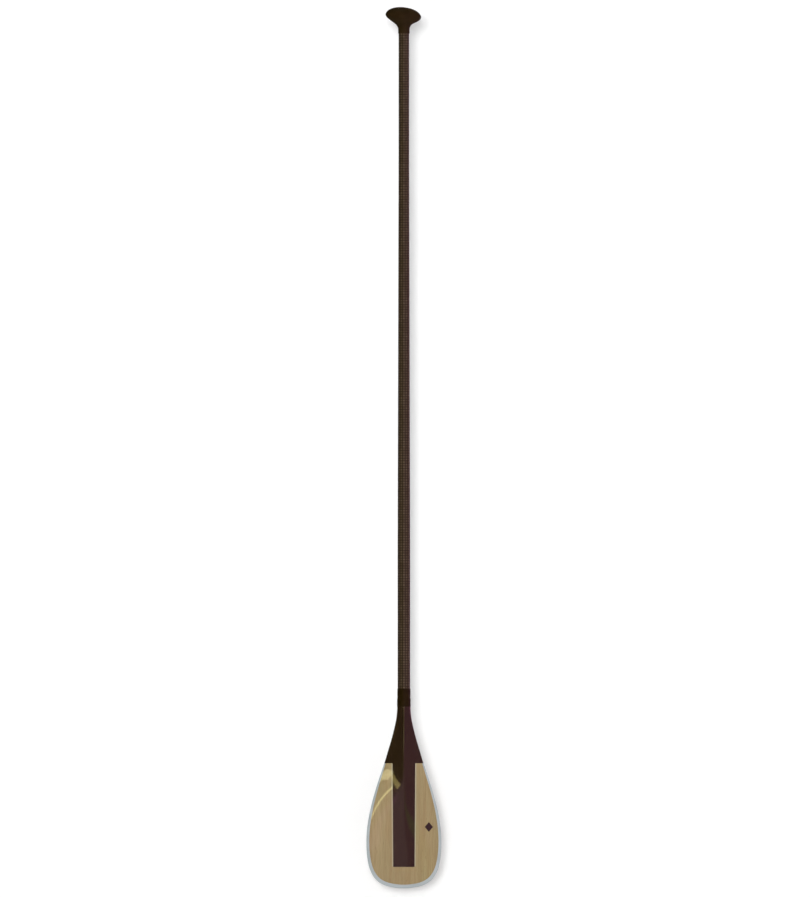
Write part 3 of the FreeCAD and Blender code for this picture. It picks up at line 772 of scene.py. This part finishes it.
# Slot, light colour, dark colour, scale of the mottling and roughness, for the mark and the pieces inside.
PLAIN_FINISHES = [
    ("mark_ink", (0.030, 0.012, 0.016), (0.024, 0.009, 0.012), 300.0, 0.45),
    ("core_foam", (0.82, 0.80, 0.72), (0.74, 0.71, 0.63), 900.0, 0.85),
    ("plug_plastic", (0.07, 0.07, 0.07), (0.05, 0.05, 0.05), 500.0, 0.5),
    ("adhesive", (0.64, 0.54, 0.35), (0.56, 0.46, 0.28), 200.0, 0.3),
    ("tube_laminate", (0.040, 0.038, 0.038), (0.028, 0.026, 0.026), 400.0, 0.45),
    ("spine_wood", (0.60, 0.46, 0.29), (0.48, 0.36, 0.21), 120.0, 0.7),
    ("inner_laminate", (0.045, 0.045, 0.045), (0.032, 0.032, 0.032), 400.0, 0.5),
]
materials = {
    "grip_plastic": grip_look(),
    "woven_carbon": weave_look(),
    "clear_carbon": clear_carbon_look(),
    "bamboo_veneer": veneer_look(),
    "edge_plastic": rail_look(),
    "sleeve_film": sleeve_look(),
}
for slot, *finish in PLAIN_FINISHES:
    materials[slot] = plain_look(slot, *finish)

for subpart in frame["record"]["subparts"]:
    node = frame["nodes"][subpart["node"]]
    node.data.materials.clear()
    node.data.materials.append(materials[subpart["material_slot"]])

PIECES = [
    ("grip_front", grip_half(-1), "grip_plastic", "grip_front_shell"),
    ("grip_rear", grip_half(1), "grip_plastic", "grip_rear_shell"),
    ("shaft_weave", shaft_shape(), "woven_carbon", "shaft_outer_ply"),
    ("sleeve", sleeve_shape(), "sleeve_film", "joint_sleeve"),
    ("carbon_skin_front", carbon_skin(-1), "clear_carbon", "carbon_front"),
    ("carbon_skin_back", carbon_skin(1), "clear_carbon", "carbon_back"),
    ("veneer_skin_front", veneer_skin(-1), "bamboo_veneer", "veneer_front"),
    ("veneer_skin_back", veneer_skin(1), "bamboo_veneer", "veneer_back"),
    ("rail", rail_solid(), "edge_plastic", "edge_rail"),
    ("diamond_mark", mark_film(), "mark_ink", "blade_mark"),
]
for name, shape, slot, replaced in PIECES:
    piece = add_piece(name, shape, materials[slot], [replaced])
    if name == "shaft_weave":
        unroll_shaft(piece.data)


# Stage, light and camera.

WALL_DISTANCE = 0.250
FLOOR_LEVEL = -0.560
STAGE_REACH = 20.0
CORNER_RADIUS = 0.02
CORNER_POINTS = 9
WALL_ALBEDO = 0.9
KEY_LEVEL = 0.50  # brightness the key light gives the wall, where 1 is paper white
CARD_DISTANCE = 8.0

# World colours on the left and on the right, and how far across (from -1 to 1) one gives way to the other.
FILL_SIDES = ((0.27, 0.27, 0.27), (0.61, 0.61, 0.61))
FILL_CHANGE = (-0.8, 0.8)
ROOM_SIDES = ((0.03, 0.015, 0.0), (0.42, 0.13, 0.26))
ROOM_CHANGE = (-0.19, -0.11)
ROOM_ENDS = (0.20, 0.18, 0.16)  # overhead and underfoot
ROOM_END_CHANGE = (0.5, 0.8)

# The camera is level and square to the blade, behind a long lens.
CAMERA_LENS = 1000.0
SENSOR_WIDTH = 36.0
FRAME_HEIGHT = 2.171  # height of the picture at the shaft
CAMERA_ACROSS = 0.0027
CAMERA_LEVEL = 0.5815
CAMERA_REACH = 100.0

# Name, azimuth, elevation, angle it spreads over, strength.
SUNS = [
    ("key", -2.6, 3.2, 8.7, math.pi * KEY_LEVEL / WALL_ALBEDO),
    ("top", 0.0, 80.0, 40.0, 0.7),
]

# Name, left and right azimuth, low and high elevation, tilt, level they are seen from, colour.
SHEEN_CARDS = [
    ("shaft_sheen", 3.0, 15.0, -9.0, 9.0, 0.0, 0.9, (1.45, 1.38, 0.90)),
    ("shaft_left_sheen", -80.0, -10.0, -9.0, 9.0, 0.0, 0.9, (0.19, 0.14, 0.03)),
    ("ridge_sheen", -4.0, 4.0, -21.0, -7.0, 0.0, -0.12, (0.25, 0.30, 0.10)),
    ("low_sheen", -7.0, 4.0, -22.3, -18.0, 0.0, -0.35, (0.50, 0.16, 0.38)),
    ("left_strip_sheen", -9.0, 0.0, -26.0, -22.3, 0.0, -0.25, (0.28, 0.25, 0.20)),
    ("left_edge_sheen", -15.5, -8.0, -20.5, -15.0, -17.0, -0.22, (0.50, 0.36, 0.26)),
    ("teardrop_sheen", 2.0, 3.6, -26.0, -22.0, 0.0, -0.25, (0.10, 0.34, 0.0)),
    ("gold_mark", -15.3, -8.8, -22.1, -21.1, -28.0, -0.22, (4.2, 3.4, 1.2)),
    ("gold_streak", -10.7, -9.9, -21.2, -19.2, 0.0, -0.25, (6.2, 5.8, 2.5)),
    ("gold_band", -26.2, -13.6, -16.6, -14.5, -43.5, -0.20, (6.2, 5.8, 3.0)),
]


def stage_sheet():
    """Floor and wall as one pale sheet, curved between them; the floor goes on behind the wall."""
    corner_y = WALL_DISTANCE - CORNER_RADIUS
    corner_z = FLOOR_LEVEL + CORNER_RADIUS
    run = [(-STAGE_REACH, FLOOR_LEVEL)]
    for angle in np.radians(np.linspace(-90, 0, CORNER_POINTS)):
        run.append((corner_y + CORNER_RADIUS * math.cos(angle), corner_z + CORNER_RADIUS * math.sin(angle)))
    run.append((WALL_DISTANCE, STAGE_REACH))
    vertices = [(side * STAGE_REACH, y, z) for y, z in run for side in (-1, 1)]
    faces = [(2 * row, 2 * row + 1, 2 * row + 3, 2 * row + 2) for row in range(len(run) - 1)]
    behind = len(vertices)
    vertices += [(side * STAGE_REACH, STAGE_REACH, FLOOR_LEVEL) for side in (-1, 1)]
    faces.append((2, 3, behind + 1, behind))
    mesh = bpy.data.meshes.new("stage")
    mesh.from_pydata(vertices, [], faces)
    sheet = bpy.data.objects.new("stage", mesh)
    bpy.context.scene.collection.objects.link(sheet)
    return sheet


def stage_material():
    """Matt white from the front, nothing from behind."""
    material = bpy.data.materials.new("stage_white")
    material.use_nodes = True
    material.node_tree.nodes.clear()
    nodes = Nodes(material.node_tree)
    white = (WALL_ALBEDO, WALL_ALBEDO, WALL_ALBEDO, 1.0)
    matt = nodes.node("ShaderNodeBsdfDiffuse", {"Color": white}).outputs[0]
    clear = nodes.node("ShaderNodeBsdfTransparent", {}).outputs[0]
    behind = nodes.node("ShaderNodeNewGeometry", {}).outputs["Backfacing"]
    nodes.node("ShaderNodeOutputMaterial", {"Surface": nodes.choose(behind, matt, clear)})
    return material


def direction(azimuth, elevation):
    """Unit vector from the paddle towards a light; azimuth 0 is the camera's side and 90 is the right."""
    turn, lift = math.radians(azimuth), math.radians(elevation)
    return Vector((math.sin(turn) * math.cos(lift), -math.cos(turn) * math.cos(lift), math.sin(lift)))


def sun(name, azimuth, elevation, spread_angle, strength):
    """A distant soft light that brightens surfaces but isn't mirrored by them."""
    data = bpy.data.lights.new(name, "SUN")
    data.energy = strength
    data.angle = math.radians(spread_angle)
    lamp = bpy.data.objects.new(name, data)
    lamp.rotation_mode = "QUATERNION"
    lamp.rotation_quaternion = direction(azimuth, elevation).to_track_quat("Z", "Y")
    lamp.visible_glossy = False
    bpy.context.scene.collection.objects.link(lamp)


def sheen_card(name, left, right, low, high, tilt, level, colour):
    """A dim panel that only shows as a reflection.

    It fills a range of azimuths and elevations as seen from a level on the paddle's axis, and the tilt turns
    it in its own plane.
    """
    towards = direction((left + right) / 2, (low + high) / 2)
    data = bpy.data.lights.new(name, "AREA")
    data.shape = "RECTANGLE"
    data.size = 2 * CARD_DISTANCE * math.tan(math.radians((right - left) / 2))
    data.size_y = 2 * CARD_DISTANCE * math.tan(math.radians((high - low) / 2))
    data.energy = math.pi * data.size * data.size_y
    data.color = colour
    lamp = bpy.data.objects.new(name, data)
    lamp.location = Vector((0.0, 0.0, level)) + towards * CARD_DISTANCE
    lamp.rotation_mode = "QUATERNION"
    lamp.rotation_quaternion = towards.to_track_quat("Z", "Y") @ Quaternion((0, 0, 1), math.radians(tilt))
    lamp.visible_diffuse = False
    lamp.visible_camera = False
    bpy.context.scene.collection.objects.link(lamp)


def world_light():
    """White for the camera, a dim tinted room in reflections, and plain grey light otherwise."""
    world = bpy.data.worlds.new("studio")
    bpy.context.scene.world = world
    world.use_nodes = True
    world.node_tree.nodes.clear()
    nodes = Nodes(world.node_tree)
    rays = nodes.node("ShaderNodeLightPath", {}).outputs
    towards = nodes.node("ShaderNodeTexCoord", {}).outputs["Generated"]
    across, _, up = nodes.parts(towards)

    def background(colour):
        """A plain glow of one colour, or of a socket's."""
        return nodes.node("ShaderNodeBackground", {"Color": colour}).outputs[0]

    fill = background(nodes.mix(nodes.rise(across, *FILL_CHANGE), *FILL_SIDES))
    room = background(nodes.mix(nodes.rise(across, *ROOM_CHANGE), *ROOM_SIDES))
    low, high = ROOM_END_CHANGE
    ramp = {"Value": nodes.math("ABSOLUTE", up), "From Min": low, "From Max": high}
    steepness = nodes.node("ShaderNodeMapRange", ramp).outputs["Result"]
    room = nodes.choose(steepness, room, background((*ROOM_ENDS, 1.0)))
    light = nodes.choose(rays["Is Glossy Ray"], fill, room)
    light = nodes.choose(rays["Is Camera Ray"], light, background((1.0, 1.0, 1.0, 1.0)))
    nodes.node("ShaderNodeOutputWorld", {"Surface": light})


def add_camera():
    """The scene's camera, as far off as its lens needs to frame the paddle."""
    data = bpy.data.cameras.new("camera")
    data.lens = CAMERA_LENS
    data.sensor_width = SENSOR_WIDTH
    data.clip_end = CAMERA_REACH
    camera = bpy.data.objects.new("camera", data)
    distance = FRAME_HEIGHT * CAMERA_LENS / SENSOR_WIDTH
    camera.location = (CAMERA_ACROSS, -distance, CAMERA_LEVEL)
    camera.rotation_euler = (math.radians(90.0), 0.0, 0.0)
    bpy.context.scene.collection.objects.link(camera)
    bpy.context.scene.camera = camera


stage = stage_sheet()
stage.data.materials.append(stage_material())
stage.visible_glossy = False
world_light()
for lamp in SUNS:
    sun(*lamp)
for card in SHEEN_CARDS:
    sheen_card(*card)
add_camera()
bpy.context.scene.view_settings.view_transform = "Standard"
